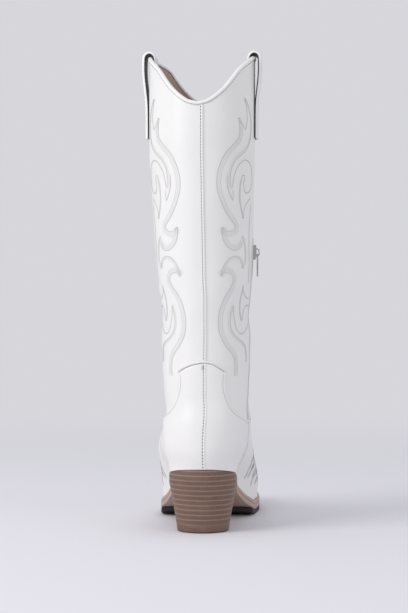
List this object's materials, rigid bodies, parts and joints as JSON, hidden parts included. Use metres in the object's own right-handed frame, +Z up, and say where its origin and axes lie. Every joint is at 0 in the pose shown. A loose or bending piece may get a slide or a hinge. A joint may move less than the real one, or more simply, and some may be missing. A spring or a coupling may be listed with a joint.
{
  "type": "western boot",
  "caption": "Knee-high western boot for the left foot: hollow leather shaft with a scalloped collar, pull straps, half zip, welted sole and stacked heel.",
  "frame": {"origin": "middle of the heel's ground face", "axes": "+Z up the shaft, +Y towards the toe, +X towards the inner side of the left foot"},
  "size_m": [0.1069, 0.2816, 0.4255],
  "materials": {
    "shaft_leather": "smooth satin white",
    "overlay_leather": "smooth satin white",
    "trim_leather": "smooth satin white",
    "insole_leather": "matt taupe",
    "sole_leather": "burnished light brown edge",
    "heel_leather": "burnished brown stack",
    "tread_rubber": "matt black",
    "zip_metal": "gunmetal",
    "zip_fabric": "woven white"
  },
  "bodies": {
    "boot": {"upper": "shaft_leather", "heel_counter": "overlay_leather", "vamp": "overlay_leather", "collar_binding": "trim_leather", "back_seam_piping": "trim_leather", "front_seam_piping": "trim_leather", "pull_strap_outer": "trim_leather", "pull_strap_inner": "trim_leather", "zip_tape": "zip_fabric", "zip_teeth": "zip_metal", "zip_slider": "zip_metal", "insole": "insole_leather", "welt": "sole_leather", "outsole": "sole_leather", "forefoot_tread": "tread_rubber", "heel_stack": "heel_leather", "heel_toplift": "heel_leather"},
    "pull_tab": {"zip_pull_tab": "zip_metal"}
  },
  "joints": [
    {"name": "pull_tab_hinge", "type": "hinge", "parent": "boot", "child": "pull_tab", "pos_m": [0.04759, 0.021, 0.24473], "axis": [0, -1, 0], "range_deg": [0, 165]}
  ]
}
